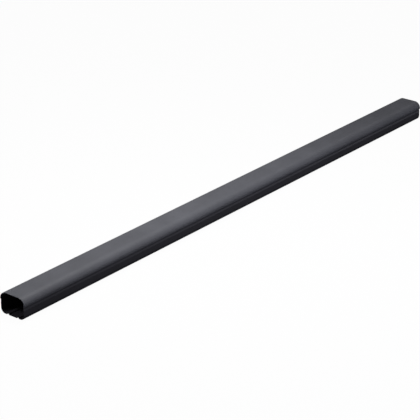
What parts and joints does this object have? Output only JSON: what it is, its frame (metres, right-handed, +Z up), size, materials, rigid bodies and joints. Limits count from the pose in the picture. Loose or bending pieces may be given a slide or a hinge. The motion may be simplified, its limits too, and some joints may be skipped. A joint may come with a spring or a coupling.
{
  "type": "cable trunking",
  "caption": "Straight length of plastic cable trunking: a U-shaped base channel with a round-cornered cover clipped over its walls and a slotted floor for screws.",
  "frame": {"origin": "middle of the length and width, on the flat underside of the base", "axes": "+X along the length, +Y across the width, +Z up from the underside to the cover"},
  "size_m": [2, 0.093, 0.0655],
  "materials": {
    "base_plastic": "satin",
    "cover_plastic": "satin"
  },
  "bodies": {
    "root": {"duct_base": "base_plastic", "duct_cover": "cover_plastic"}
  },
  "joints": []
}
